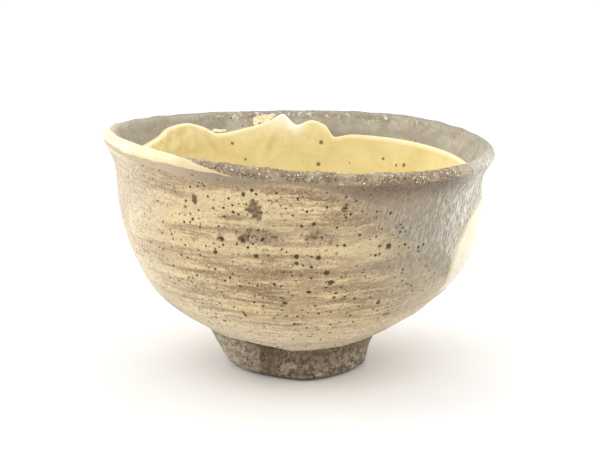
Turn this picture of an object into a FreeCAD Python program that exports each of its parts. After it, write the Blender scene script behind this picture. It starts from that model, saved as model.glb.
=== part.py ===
import FreeCAD, Part
import math
import os

# A hand-thrown matcha bowl (chawan), in millimetres.
# Frame: +Z up, the foot rests on the plane Z = 0, -Y is the bowl's front and +X is its right side.
# An angle on the bowl is in degrees, counterclockwise seen from above: 0 is right, 270 is the front.
#
# The clay body is one pot. Its wall is an outline turned round the axis and then put out of round,
# as a hand-thrown pot is: it leans, sags to one side near the foot, and its lip rises and falls.
# The slips are thin coats on that wall. Each is a separate solid that touches the clay face to face.

# Driving dimensions: alias, value in millimetres (degrees for an angle, a plain ratio for the lean).
DIMENSIONS = [
    # the outer wall's stations, from the underside to the lip
    ("wall_radius_0", 18.0), ("wall_height_0", 6.5),
    ("wall_radius_1", 25.3), ("wall_height_1", 10.0),
    ("wall_radius_2", 33.2), ("wall_height_2", 14.9),
    ("wall_radius_3", 43.5), ("wall_height_3", 21.9),
    ("wall_radius_4", 51.3), ("wall_height_4", 30.3),
    ("wall_radius_5", 56.6), ("wall_height_5", 40.1),
    ("wall_radius_6", 59.3), ("wall_height_6", 49.9),
    ("wall_radius_7", 60.4), ("wall_height_7", 59.6),
    ("wall_radius_8", 61.7), ("wall_height_8", 68.0),
    ("wall_radius_9", 64.2), ("wall_height_9", 72.6),
    ("lip_radius", 65.0), ("lip_height", 74.9), ("lip_crown", 1.5),
    # wall thickness at the floor, halfway up and at the lip
    ("floor_thickness", 6.7), ("wall_thickness", 5.0), ("lip_thickness", 4.2),
    # how the pot is out of round
    ("sag_low", -2.8), ("sag_high", -0.4), ("sag_start_height", 19.0), ("sag_end_height", 38.0),
    ("lean", -0.042), ("level_height", 15.0),
    ("lip_squash", -0.35), ("lip_shift", -0.15),
    ("lip_tilt", -0.9), ("lip_saddle", 0.2), ("lip_twist", 1.15), ("lip_ripple", -0.2),
    # the foot ring's outer sections, each an oval: height, centre and half widths
    ("foot_height_0", 0.0), ("foot_x_0", -0.6), ("foot_y_0", -1.3),
    ("foot_half_x_0", 20.9), ("foot_half_y_0", 21.6),
    ("foot_height_1", 0.9), ("foot_x_1", -0.8), ("foot_y_1", -1.5),
    ("foot_half_x_1", 22.3), ("foot_half_y_1", 22.9),
    ("foot_height_2", 4.2), ("foot_x_2", -1.7), ("foot_y_2", -2.0),
    ("foot_half_x_2", 24.3), ("foot_half_y_2", 24.5),
    ("foot_height_3", 8.2), ("foot_x_3", -2.2), ("foot_y_3", -2.4),
    ("foot_half_x_3", 26.5), ("foot_half_y_3", 24.2),
    ("foot_height_4", 12.2), ("foot_x_4", -2.6), ("foot_y_4", -2.7),
    ("foot_half_x_4", 27.6), ("foot_half_y_4", 26.0),
    # the well that is cut into the foot
    ("well_x", -1.2), ("well_y", -1.8), ("well_radius_base", 16.2), ("well_radius_top", 15.2),
    ("well_top_height", 15.0),
    # the slips' thickness, and how deep each coat's hidden face lies in the clay before it is cut
    ("inside_slip_thickness", 0.9), ("smear_thickness", 0.5), ("lip_slip_thickness", 1.1),
    ("outside_slip_thickness", 0.5), ("side_slip_thickness", 0.9), ("coat_root", 0.8),
    # where the slips end, as heights on the wall before it is put out of round
    ("inside_slip_height", 68.2), ("outside_slip_height", 69.6), ("outside_slip_start_height", 9.4),
    # the side pour's oval outline, seen from the right, and the roll along the left lip
    ("pour_middle_y", 6.0), ("pour_middle_height", 47.5),
    ("pour_half_length", 40.0), ("pour_half_height", 18.5),
    ("pour_slant", 14.0), ("pour_start_x", 10.0), ("pour_reach_x", 80.0), ("pour_coat_height", 72.0),
    ("lip_slip_angle", 205.0), ("lip_slip_half_angle", 45.0),
    ("lip_slip_drop", 3.1), ("lip_slip_half_height", 2.7),
]

# Bumps on a slip's edge: middle angle, rise in millimetres, width in degrees.
INSIDE_SLIP_BUMPS = [
    (86, 4.3, 5), (97, 6.0, 5), (134, 5.0, 9),
    (205, 2.0, 14), (250, -2.5, 14), (305, 2.5, 12),
]
OUTSIDE_SLIP_BUMPS = [(100, 1.5, 15), (250, -1.5, 8), (326, -26.0, 15)]

# The two smears of slip above the inside slip's edge: middle angle, height, half width, half height.
SMEARS = [(118.5, 72.2, 6.0, 1.3), (105.0, 73.9, 4.5, 0.9)]

WALL_STATIONS = 10
FOOT_SECTIONS = 5
# points round a ring: few where it is smooth, more where a slip's edge has bumps
WALL_RING_POINTS = 24
SLIP_RING_POINTS = 60
# where a coat's rings lie, as fractions of its height from its start to its edge
COAT_STEPS = [0.0, 0.09, 0.19, 0.3, 0.43, 0.56, 0.7, 0.84, 0.97]
# where the points of a lens-shaped section lie, as fractions of its height
LENS_ROOT_STEPS = [0.0, 0.25, 0.5, 0.75, 1.0]
LENS_FACE_STEPS = [0.97, 0.8, 0.6, 0.4, 0.2, 0.03]
LIP_OVAL_POINTS = 12
LIP_BAND_SECTIONS = 13
SMEAR_BAND_SECTIONS = 7
# how far a band's first and last sections are from its middle, as a fraction of its half angle
BAND_REACH = 0.985
BISECTIONS = 40

doc = FreeCAD.newDocument("MatchaBowl")
sheet = doc.addObject("Spreadsheet::Sheet", "Dimensions")
for row, (alias, value) in enumerate(DIMENSIONS, start=1):
    sheet.set("A%d" % row, alias.replace("_", " "))
    sheet.set("B%d" % row, str(value))
    sheet.setAlias("B%d" % row, alias)
doc.recompute()


def dim(alias):
    return float(sheet.get(alias))


def smooth_step(x):
    x = min(max(x, 0.0), 1.0)
    return x * x * (3.0 - 2.0 * x)


# ---- the wall's outline and how it is put out of round ----

def outline_curve():
    """The outer wall's outline in the XZ plane, from the underside to the lip."""
    points = []
    for i in range(WALL_STATIONS):
        points.append(FreeCAD.Vector(dim("wall_radius_%d" % i), 0, dim("wall_height_%d" % i)))
    points.append(FreeCAD.Vector(dim("lip_radius"), 0, dim("lip_height")))
    curve = Part.BSplineCurve()
    curve.interpolate(points)
    return curve


OUTLINE = outline_curve()
TOP_HEIGHT = dim("lip_height") + dim("lip_crown")


def station_at(height):
    """The outline's parameter at a height. The outline only ever rises."""
    low = OUTLINE.FirstParameter
    high = OUTLINE.LastParameter
    for _ in range(BISECTIONS):
        middle = 0.5 * (low + high)
        if OUTLINE.value(middle).z < height:
            low = middle
        else:
            high = middle
    return 0.5 * (low + high)


def thickness_at(height):
    """The wall's thickness thins from the floor to mid height, and again to the lip."""
    base = dim("wall_height_0")
    rise = (height - base) / (dim("lip_height") - base)
    lower = smooth_step(rise / 0.5)
    upper = smooth_step((rise - 0.5) / 0.5)
    thickness = dim("floor_thickness") + (dim("wall_thickness") - dim("floor_thickness")) * lower
    return thickness + (dim("lip_thickness") - dim("wall_thickness")) * upper


def outside_point(height, proud):
    """Radius and height of a point that stands proud of the outer wall at that height."""
    station = station_at(height)
    point = OUTLINE.value(station)
    along = OUTLINE.tangent(station)[0]
    return (point.x + proud * along.z, point.z - proud * along.x)


def inside_point(height, proud):
    """Radius and height of a point that stands proud of the inner wall, opposite that outer height."""
    return outside_point(height, -thickness_at(height) - proud)


def out_of_round(radius, height, angle):
    """Where a point of the true round pot lies on the real, uneven one."""
    turn = math.radians(angle)
    rise = max(0.0, (height - dim("level_height")) / (TOP_HEIGHT - dim("level_height")))
    sag_span = dim("sag_end_height") - dim("sag_start_height")
    settle = smooth_step((height - dim("sag_start_height")) / sag_span)
    sag = dim("sag_low") + (dim("sag_high") - dim("sag_low")) * settle
    radius += sag * math.cos(turn)
    radius += rise ** 2 * (dim("lip_shift") * math.sin(turn) + dim("lip_squash") * math.sin(2 * turn))
    x = radius * math.cos(turn)
    y = radius * math.sin(turn)
    lift = dim("lip_tilt") * math.sin(turn) + dim("lip_saddle") * math.cos(2 * turn)
    lift += dim("lip_twist") * math.sin(2 * turn) + dim("lip_ripple") * math.cos(3 * turn)
    return FreeCAD.Vector(x, y, height + dim("lean") * x + rise ** 2 * lift)


def edge_height(base, bumps, angle):
    """The height of a slip's uneven edge."""
    height = base
    for middle, bump, width in bumps:
        away = (angle - middle + 180.0) % 360.0 - 180.0
        height += bump * math.exp(-0.5 * (away / width) ** 2)
    return height


# ---- rings, lofts and cuts ----

def ring(name, place, count):
    """A closed smooth curve round the pot. place(angle) gives the radius and height there."""
    points = []
    for i in range(count):
        angle = 360.0 * i / count
        radius, height = place(angle)
        points.append(out_of_round(radius, height, angle))
    return closed_curve(name, points)


def closed_curve(name, points):
    curve = Part.BSplineCurve()
    curve.interpolate(Points=points, PeriodicFlag=True)
    feature = doc.addObject("Part::Feature", name)
    feature.Shape = Part.Wire(curve.toShape())
    return feature


def loft(name, sections, ruled=False):
    """A solid through the sections: smooth, or ruled where it has crisp edges."""
    body = doc.addObject("Part::Loft", name)
    body.Sections = sections
    body.Solid = True
    body.Ruled = ruled
    return body


def cut(name, base, tool):
    result = doc.addObject("Part::Cut", name)
    result.Base = base
    result.Tool = tool
    return result


def make_clay_bowl():
    """Rings up the outer wall, over the lip and down the inner wall to the floor."""
    heights = [dim("wall_height_%d" % i) for i in range(WALL_STATIONS)] + [dim("lip_height")]
    places = [outside_point(height, 0.0) for height in heights]
    lip_outer = outside_point(dim("lip_height"), 0.0)
    lip_inner = inside_point(dim("lip_height"), 0.0)
    places.append((0.5 * (lip_outer[0] + lip_inner[0]), TOP_HEIGHT))
    places += [inside_point(height, 0.0) for height in reversed(heights)]
    sections = []
    for i, place in enumerate(places):
        sections.append(ring("WallRing%02d" % i, lambda angle, place=place: place, WALL_RING_POINTS))
    return loft("clay_bowl", sections)



def make_foot_blank():
    """Oval sections that widen upwards into the bowl's floor, with a well cut into them."""
    sections = []
    for i in range(FOOT_SECTIONS):
        oval = oval_section("FootSection%d" % i, "foot_half_x_%d" % i, "foot_half_y_%d" % i)
        oval.setExpression("Placement.Base.x", "Dimensions.foot_x_%d" % i)
        oval.setExpression("Placement.Base.y", "Dimensions.foot_y_%d" % i)
        oval.setExpression("Placement.Base.z", "Dimensions.foot_height_%d" % i)
        sections.append(oval)
    tilt = FreeCAD.Rotation(FreeCAD.Vector(0, 1, 0), -math.degrees(math.atan(dim("lean"))))
    sections[-1].Placement.Rotation = tilt.multiply(sections[-1].Placement.Rotation)
    well = doc.addObject("Part::Cone", "FootWell")
    well.setExpression("Radius1", "Dimensions.well_radius_base")
    well.setExpression("Radius2", "Dimensions.well_radius_top")
    well.setExpression("Height", "Dimensions.well_top_height")
    well.setExpression("Placement.Base.x", "Dimensions.well_x")
    well.setExpression("Placement.Base.y", "Dimensions.well_y")
    return cut("FootBlank", loft("FootOutside", sections), well)


def oval_section(name, half_x, half_y):
    """An ellipse whose longer half width lies along X or Y as the dimensions ask."""
    oval = doc.addObject("Part::Ellipse", name)
    if dim(half_x) >= dim(half_y):
        oval.setExpression("MajorRadius", "Dimensions." + half_x)
        oval.setExpression("MinorRadius", "Dimensions." + half_y)
        return oval
    oval.setExpression("MajorRadius", "Dimensions." + half_y)
    oval.setExpression("MinorRadius", "Dimensions." + half_x)
    oval.Placement.Rotation = FreeCAD.Rotation(FreeCAD.Vector(0, 0, 1), 90)
    return oval


def coat_rings(name, point_on_wall, low, high, thickness, count):
    """Rings of a coat that goes right round: up its root in the clay, over its edge, down its face.

    point_on_wall is outside_point or inside_point, and high(angle) is the coat's upper edge.
    """
    root = -dim("coat_root")
    places = [(step, root) for step in COAT_STEPS]
    places += [(1.0, root), (1.01, 0.0), (1.0, 0.8 * thickness)]
    places += [(step, thickness) for step in reversed(COAT_STEPS)]
    rings = []
    for i, (step, proud) in enumerate(places):
        def place(angle, step=step, proud=proud):
            return point_on_wall(low + (high(angle) - low) * step, proud)
        rings.append(ring("%sRing%02d" % (name, i), place, count))
    return rings


def make_inside_slip(bowl):
    """The poured coat inside, from the floor up to its uneven edge."""
    def edge(angle):
        return edge_height(dim("inside_slip_height"), INSIDE_SLIP_BUMPS, angle)
    low = dim("wall_height_0")
    rings = coat_rings("InsideSlip", inside_point, low, edge, dim("inside_slip_thickness"), SLIP_RING_POINTS)
    return cut("inside_slip", loft("InsideSlipBlank", rings, ruled=True), bowl)


def make_outside_slip(bowl, foot_blank, pour_outline):
    """The brushed coat, from the foot up to its uneven edge, with a bay left for the pour."""
    def edge(angle):
        return edge_height(dim("outside_slip_height"), OUTSIDE_SLIP_BUMPS, angle)
    low = dim("outside_slip_start_height")
    thickness = dim("outside_slip_thickness")
    rings = coat_rings("OutsideSlip", outside_point, low, edge, thickness, SLIP_RING_POINTS)
    coat = cut("OutsideSlipAboveFoot", loft("OutsideSlipBlank", rings, ruled=True), foot_blank)
    coat = cut("OutsideSlipBesidePour", coat, pour_outline)
    return cut("outside_slip", coat, bowl)


def make_pour_outline():
    """A prism along X whose oval end is the pour's outline, seen from the right side."""
    oval = doc.addObject("Part::Ellipse", "PourOval")
    oval.setExpression("MajorRadius", "Dimensions.pour_half_length")
    oval.setExpression("MinorRadius", "Dimensions.pour_half_height")
    facing_right = FreeCAD.Rotation(FreeCAD.Vector(0, 1, 0), 90)
    along_y = FreeCAD.Rotation(FreeCAD.Vector(1, 0, 0), 90 + dim("pour_slant"))
    oval.Placement.Rotation = along_y.multiply(facing_right)
    oval.setExpression("Placement.Base.x", "Dimensions.pour_start_x")
    oval.setExpression("Placement.Base.y", "Dimensions.pour_middle_y")
    oval.setExpression("Placement.Base.z", "Dimensions.pour_middle_height")
    prism = doc.addObject("Part::Extrusion", "PourOutline")
    prism.Base = oval
    prism.Dir = FreeCAD.Vector(1, 0, 0)
    prism.DirMode = "Custom"
    prism.setExpression("LengthFwd", "Dimensions.pour_reach_x")
    prism.Solid = True
    return prism


def make_side_slip(bowl, pour_outline):
    """The pour that runs down the right side: the part of a thicker coat inside its outline."""
    low = dim("outside_slip_start_height")
    rings = coat_rings("Pour", outside_point, low, lambda angle: dim("pour_coat_height"),
                       dim("side_slip_thickness"), WALL_RING_POINTS)
    pour = doc.addObject("Part::Common", "Pour")
    pour.Base = loft("PourBlank", rings, ruled=True)
    pour.Tool = pour_outline
    return cut("side_slip", pour, bowl)


def wall_lens(point_on_wall, low, high, thickness):
    """A lens-shaped section on the wall: its root inside the clay, and its face that shows."""
    hidden = [point_on_wall(low + (high - low) * step, -dim("coat_root")) for step in LENS_ROOT_STEPS]
    shown = [point_on_wall(low + (high - low) * step, thickness) for step in LENS_FACE_STEPS]
    return hidden, shown


def lip_lens(drop, half_height, half_thickness):
    """An oval section centred on the lip's outer face, which reaches over its crown."""
    radius, height = outside_point(TOP_HEIGHT - drop, 0.0)
    points = []
    for i in range(LIP_OVAL_POINTS):
        turn = 2.0 * math.pi * i / LIP_OVAL_POINTS - 0.5 * math.pi
        points.append((radius - half_thickness * math.cos(turn), height + half_height * math.sin(turn)))
    middle = LIP_OVAL_POINTS // 2
    return points[:middle + 1], points[middle + 1:]


def band(name, middle, half_angle, count, section):
    """A solid that runs part of the way round. section(reach) gives its two faces, reach from -1 to 1."""
    sections = []
    for i in range(count):
        reach = BAND_REACH * (2.0 * i / (count - 1) - 1.0)
        angle = middle + half_angle * reach
        hidden, shown = [[out_of_round(*place, angle) for place in face] for face in section(reach)]
        sections.append(lens_wire("%sSection%02d" % (name, i), hidden, [hidden[-1]] + shown + [hidden[0]]))
    return loft(name, sections)


def lens_wire(name, hidden, shown):
    """A closed wire of two smooth curves that meet at two corners."""
    edges = []
    for points in (hidden, shown):
        curve = Part.BSplineCurve()
        curve.interpolate(points)
        edges.append(curve.toShape())
    feature = doc.addObject("Part::Feature", name)
    feature.Shape = Part.Wire(edges)
    return feature


def make_lip_slip(bowl):
    """The thick roll of slip along the left lip. It thins towards both ends."""
    def section(reach):
        fullness = math.sqrt(1.0 - reach * reach)
        half_height = dim("lip_slip_half_height") * (0.3 + 0.7 * fullness)
        half_thickness = dim("lip_slip_thickness") * (0.2 + 0.8 * fullness)
        return lip_lens(dim("lip_slip_drop"), half_height, half_thickness)
    middle = dim("lip_slip_angle")
    blank = band("LipSlipBlank", middle, dim("lip_slip_half_angle"), LIP_BAND_SECTIONS, section)
    return cut("lip_slip", blank, bowl)


def make_smears(bowl):
    """Two thin smears of slip that stand clear above the inside slip's edge."""
    blanks = []
    for i, (angle, height, half_angle, half_height) in enumerate(SMEARS):
        def section(reach, height=height, half_height=half_height):
            reach_up = half_height * math.sqrt(1.0 - reach * reach)
            return wall_lens(inside_point, height - reach_up, height + reach_up, dim("smear_thickness"))
        blanks.append(band("Smear%dBlank" % i, angle, half_angle, SMEAR_BAND_SECTIONS, section))
    group = doc.addObject("Part::Compound", "SmearBlanks")
    group.Links = blanks
    return cut("inside_slip_smears", group, bowl)


clay_bowl = make_clay_bowl()
foot_blank = make_foot_blank()
foot_ring = cut("foot_ring", foot_blank, clay_bowl)
inside_slip = make_inside_slip(clay_bowl)
pour_outline = make_pour_outline()
outside_slip = make_outside_slip(clay_bowl, foot_blank, pour_outline)
side_slip = make_side_slip(clay_bowl, pour_outline)
lip_slip = make_lip_slip(clay_bowl)
smears = make_smears(clay_bowl)
pieces = [clay_bowl, foot_ring, inside_slip, smears, outside_slip, side_slip, lip_slip]

doc.recompute()
for item in doc.Objects:
    if "Invalid" in item.State or "Error" in item.State:
        raise RuntimeError("%s could not be built: %s" % (item.Name, item.State))
for piece in pieces:
    if piece.Shape.isNull() or not piece.Shape.isValid():
        raise RuntimeError("%s has no valid shape" % piece.Label)
    volumes = ", ".join("%.1f" % solid.Volume for solid in piece.Shape.Solids)
    print("%s: volumes %s mm3" % (piece.Label, volumes))

os.makedirs("parts", exist_ok=True)
for piece in pieces:
    piece.Shape.exportStep("parts/%s.step" % piece.Label)
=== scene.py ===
"""The visual model of a hand-thrown matcha bowl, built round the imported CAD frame."""
import math

import bpy
import numpy as np
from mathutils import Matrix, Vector


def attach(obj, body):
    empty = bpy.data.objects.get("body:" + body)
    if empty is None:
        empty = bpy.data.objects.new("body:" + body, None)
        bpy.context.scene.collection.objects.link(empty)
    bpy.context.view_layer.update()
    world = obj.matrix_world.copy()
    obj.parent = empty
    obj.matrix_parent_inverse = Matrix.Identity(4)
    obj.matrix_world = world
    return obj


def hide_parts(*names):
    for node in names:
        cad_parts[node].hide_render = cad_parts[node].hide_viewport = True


# Units: the frame, the studio and the camera are in metres. Everything else is in millimetres and is
# scaled once, by MM. An angle is in degrees round the bowl, counterclockwise from above: 0 is right,
# 270 is the front. A place on the wall is (angle, depth). Depth is the distance along the wall from the
# top of the lip: the wall takes it as negative outside and positive inside, and a list or a function
# that is about one side only gives it as positive.
MM = 0.001

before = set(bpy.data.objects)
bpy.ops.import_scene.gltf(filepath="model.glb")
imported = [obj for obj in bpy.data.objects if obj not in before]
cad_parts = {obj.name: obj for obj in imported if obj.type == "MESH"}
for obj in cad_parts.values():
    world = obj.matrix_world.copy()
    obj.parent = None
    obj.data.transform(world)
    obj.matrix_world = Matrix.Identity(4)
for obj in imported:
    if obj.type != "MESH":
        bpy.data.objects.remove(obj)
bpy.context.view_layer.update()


# ---------------------------------------------------------------- small mathematics

def smooth(x, low, high):
    """0 below low, 1 above high, and an S curve between them."""
    x = np.clip((np.asarray(x, float) - low) / (high - low), 0.0, 1.0)
    return x * x * (3.0 - 2.0 * x)


def band(x, rise_from, rise_to, fall_from, fall_to):
    """1 inside a band of x, with an S curve on each side of it."""
    return smooth(x, rise_from, rise_to) * (1.0 - smooth(x, fall_from, fall_to))


def even_angles(count, shift=0.0):
    """Angles at even steps round the bowl. The shift is a share of a step."""
    return (np.arange(count) + shift) * 360.0 / count


def between(start, end, count):
    """A list of count values or rows at even steps from start to end."""
    return [start + (end - start) * share for share in np.linspace(0.0, 1.0, count)]


def around(angle, middle):
    """The signed difference between two angles, from -180 to 180."""
    return (np.asarray(angle, float) - middle + 180.0) % 360.0 - 180.0


def arc_mask(angle, start, end, soft):
    """1 between two angles, counterclockwise from start to end, and soft outside them."""
    half = 0.5 * ((end - start) % 360.0)
    middle = start + half
    return 1.0 - smooth(np.abs(around(angle, middle)), half - soft, half + soft)


def curve_through(points, period=None):
    """A smooth curve through (x, y) points, which never swings past its neighbours."""
    xs = np.array([p[0] for p in points], float)
    ys = np.array([p[1] for p in points], float)
    if period:
        xs = np.concatenate([xs - period, xs, xs + period])
        ys = np.tile(ys, 3)
    steps = np.diff(xs)
    slopes = np.diff(ys) / steps
    tangents = np.zeros_like(ys)
    rising = slopes[:-1] * slopes[1:] > 0
    weight = steps[:-1] + steps[1:]
    inner = 3.0 * weight / ((weight + steps[1:]) / np.where(rising, slopes[:-1], 1.0)
                            + (weight + steps[:-1]) / np.where(rising, slopes[1:], 1.0))
    tangents[1:-1] = np.where(rising, inner, 0.0)

    def value(x):
        x = np.asarray(x, float)
        if period:
            x = x % period
        i = np.clip(np.searchsorted(xs, x) - 1, 0, len(xs) - 2)
        t = np.clip((x - xs[i]) / steps[i], 0.0, 1.0)
        start = ys[i] * (1 + 2 * t) * (1 - t) ** 2 + tangents[i] * steps[i] * t * (1 - t) ** 2
        end = ys[i + 1] * t * t * (3 - 2 * t) - tangents[i + 1] * steps[i] * t * t * (1 - t)
        return start + end
    return value


LATTICE_SHIFT = 61.7
NOISE_GAIN = 1.6


def noise(points, size, seed):
    """Gradient noise from about -1 to 1, one lump per size millimetres. size may differ by axis."""
    rng = np.random.RandomState(seed)
    table = rng.permutation(256)
    table = np.concatenate([table, table, table])
    slopes = rng.normal(size=(256, 3))
    slopes /= np.linalg.norm(slopes, axis=1)[:, None]
    p = np.asarray(points, float) / np.asarray(size, float) + LATTICE_SHIFT
    cell = np.floor(p).astype(int)
    part = p - cell
    ease = part ** 3 * (part * (part * 6 - 15) + 10)
    total = 0.0
    for corner in range(8):
        step = np.array([corner & 1, corner >> 1 & 1, corner >> 2 & 1])
        at = (cell + step) & 255
        index = table[table[table[at[..., 0]] + at[..., 1]] + at[..., 2]]
        value = (slopes[index] * (part - step)).sum(-1)
        total = total + value * np.where(step == 1, ease, 1.0 - ease).prod(-1)
    return total * NOISE_GAIN


# ---------------------------------------------------------------- the wall, read from the CAD body

# The half planes that cut the CAD bodies are turned a little, so that they miss the meshes' own edges.
SECTION_ANGLES = even_angles(72, 0.37)
ROUND_HARMONICS = 6
WALL_COLUMNS = 720
WALL_SAMPLES = 401


def welded_triangles(node):
    """A CAD node's vertices in millimetres, with doubles joined, and its triangles."""
    mesh = node.data
    mesh.calc_loop_triangles()
    places = np.empty(len(mesh.vertices) * 3)
    mesh.vertices.foreach_get("co", places)
    triangles = np.empty(len(mesh.loop_triangles) * 3, int)
    mesh.loop_triangles.foreach_get("vertices", triangles)
    places = np.round(places.reshape(-1, 3) / MM, 3)
    unique, index = np.unique(places, axis=0, return_inverse=True)
    return unique, index.reshape(-1)[triangles].reshape(-1, 3)


def cut_half_plane(places, triangles, angle):
    """The chains of (radius, height) points where the half plane at an angle cuts a mesh."""
    turn = math.radians(angle)
    along = places[:, 0] * math.cos(turn) + places[:, 1] * math.sin(turn)
    across = places[:, 1] * math.cos(turn) - places[:, 0] * math.sin(turn)
    side = across > 0
    crossing = triangles[(side[triangles].sum(1) % 3) != 0]
    links = {}
    points = {}
    for triangle in crossing:
        ends = []
        for a, b in ((0, 1), (1, 2), (2, 0)):
            i, j = sorted((int(triangle[a]), int(triangle[b])))
            if side[i] != side[j]:
                share = across[i] / (across[i] - across[j])
                radius = along[i] + (along[j] - along[i]) * share
                points[(i, j)] = (radius, places[i, 2] + (places[j, 2] - places[i, 2]) * share)
                ends.append((i, j))
        if points[ends[0]][0] > 0 and points[ends[1]][0] > 0:
            links.setdefault(ends[0], []).append(ends[1])
            links.setdefault(ends[1], []).append(ends[0])
    return links, points


def follow(links, points, start):
    """Walks a chain of cut edges from one of them and gives its points in order."""
    order = [start]
    seen = {start}
    while True:
        ahead = [edge for edge in links[order[-1]] if edge not in seen]
        if not ahead:
            return np.array([points[edge] for edge in order])
        order.append(ahead[0])
        seen.add(ahead[0])


def resample(line, samples):
    """A line of points at even steps along its length, and that length."""
    steps = np.linalg.norm(np.diff(line, axis=0), axis=1)
    line = line[np.concatenate([[True], steps > 1e-6])]
    reach = np.concatenate([[0.0], np.cumsum(np.linalg.norm(np.diff(line, axis=0), axis=1))])
    at = np.linspace(0.0, reach[-1], samples)
    return np.stack([np.interp(at, reach, line[:, k]) for k in (0, 1)], axis=1), reach[-1]


def round_fit(angles, values, columns):
    """Values known at some angles, as a smooth closed curve round the bowl, at even columns."""
    def waves(at):
        turn = np.radians(at)[:, None] * np.arange(1, ROUND_HARMONICS + 1)
        return np.concatenate([np.ones((len(at), 1)), np.cos(turn), np.sin(turn)], axis=1)
    flat = values.reshape(len(angles), -1)
    weights = np.linalg.lstsq(waves(angles), flat, rcond=None)[0]
    return (waves(even_angles(columns)) @ weights).reshape((columns,) + values.shape[1:])


class Wall:
    """The clay body's surface: its place and outward direction at any angle and depth."""

    def __init__(self, node):
        places, triangles = welded_triangles(node)
        outside, inside, lengths = [], [], []
        for angle in SECTION_ANGLES:
            links, points = cut_half_plane(places, triangles, angle)
            ends = [edge for edge, near in links.items() if len(near) == 1]
            chain = follow(links, points, min(ends, key=lambda edge: points[edge][1]))
            chain = np.concatenate([[(0.0, chain[0, 1])], chain, [(0.0, chain[-1, 1])]])
            top = int(chain[:, 1].argmax())
            down_outside, outer_length = resample(chain[top::-1], WALL_SAMPLES)
            down_inside, inner_length = resample(chain[top:], WALL_SAMPLES)
            outside.append(down_outside)
            inside.append(down_inside)
            lengths.append((outer_length, inner_length))
        self.lengths = round_fit(SECTION_ANGLES, np.array(lengths), WALL_COLUMNS)
        sides = [round_fit(SECTION_ANGLES, np.array(side), WALL_COLUMNS) for side in (outside, inside)]
        loop = self.soften(np.concatenate([sides[0][:, :0:-1], sides[1]], axis=1))
        turn = np.radians(even_angles(WALL_COLUMNS))[:, None]
        self.places = np.stack([loop[..., 0] * np.cos(turn), loop[..., 0] * np.sin(turn), loop[..., 1]], -1)
        along = np.gradient(self.places, axis=1)
        round_about = np.roll(self.places, -1, axis=0) - np.roll(self.places, 1, axis=0)
        self.normals = np.cross(round_about, along)
        self.normals[:, 0] = self.normals[:, 1]
        self.normals[:, -1] = self.normals[:, -2]
        self.normals /= np.linalg.norm(self.normals, axis=-1)[..., None]

    @staticmethod
    def soften(loop):
        """Takes the facets of the CAD mesh out of the outline."""
        for _ in range(3):
            inner = 0.25 * loop[:, :-2] + 0.5 * loop[:, 1:-1] + 0.25 * loop[:, 2:]
            loop = np.concatenate([loop[:, :1], inner, loop[:, -1:]], axis=1)
        return loop

    def at(self, angle, depth):
        """Places and normals for arrays of angles and depths of the same shape."""
        angle, depth = np.broadcast_arrays(np.asarray(angle, float), np.asarray(depth, float))
        column = (angle % 360.0) * WALL_COLUMNS / 360.0
        left = np.floor(column).astype(int) % WALL_COLUMNS
        right = (left + 1) % WALL_COLUMNS
        share = column - np.floor(column)
        side = (depth > 0).astype(int)
        length = self.lengths[left, side] * (1 - share) + self.lengths[right, side] * share
        row = (WALL_SAMPLES - 1) * (1.0 + np.clip(depth / length, -1.0, 1.0))
        low = np.clip(np.floor(row).astype(int), 0, 2 * WALL_SAMPLES - 3)
        rise = (row - low)[..., None]
        share = share[..., None]
        found = []
        for grid in (self.places, self.normals):
            lower = grid[left, low] * (1 - share) + grid[right, low] * share
            upper = grid[left, low + 1] * (1 - share) + grid[right, low + 1] * share
            found.append(lower * (1 - rise) + upper * rise)
        found[1] /= np.linalg.norm(found[1], axis=-1)[..., None]
        return found

    def length(self, angle, side):
        """How long the wall is from the lip to the middle, outside (0) or inside (1)."""
        return np.interp(angle, even_angles(WALL_COLUMNS), self.lengths[:, side], period=360.0)


wall = Wall(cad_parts["clay_bowl"])


# ---------------------------------------------------------------- the foot, read from its CAD body

FOOT_COLUMNS = 540
FOOT_LEVELS = np.linspace(0.2, 9.0, 12)
RESTING_HEIGHT = 0.5
JOINT_DEPTHS = np.linspace(60.0, 95.0, 351)


def foot_walls():
    """The foot's outer and inner radius at each level, and the corner where it meets the bowl."""
    places, triangles = welded_triangles(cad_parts["foot_ring"])
    outer, inner, corners = [], [], []
    for angle in SECTION_ANGLES:
        links, points = cut_half_plane(places, triangles, angle)
        chain = follow(links, points, max(links, key=lambda edge: points[edge][1]))
        middle = chain[chain[:, 1] < RESTING_HEIGHT, 0].mean()
        for side, found in ((chain[:, 0] > middle, outer), (chain[:, 0] < middle, inner)):
            half = chain[side]
            half = half[np.argsort(half[:, 1])]
            found.append(np.interp(FOOT_LEVELS, half[:, 1], half[:, 0]))
        corners.append(chain[chain[:, 1].argmax()])
    return [round_fit(SECTION_ANGLES, np.array(values), FOOT_COLUMNS) for values in (outer, inner, corners)]


foot_outer, foot_inner, foot_corners = foot_walls()


def foot_joint_depth(angles):
    """The wall's depth down the outside where the foot's outer face meets it."""
    radius = np.interp(angles, even_angles(FOOT_COLUMNS), foot_corners[:, 0], period=360.0)
    places, _ = wall.at(angles[:, None], -JOINT_DEPTHS[None, :])
    reach = np.hypot(places[..., 0], places[..., 1])
    return JOINT_DEPTHS[np.clip((reach > radius[:, None]).sum(1), 1, len(JOINT_DEPTHS) - 1)]


# ---------------------------------------------------------------- meshes from grids

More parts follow.
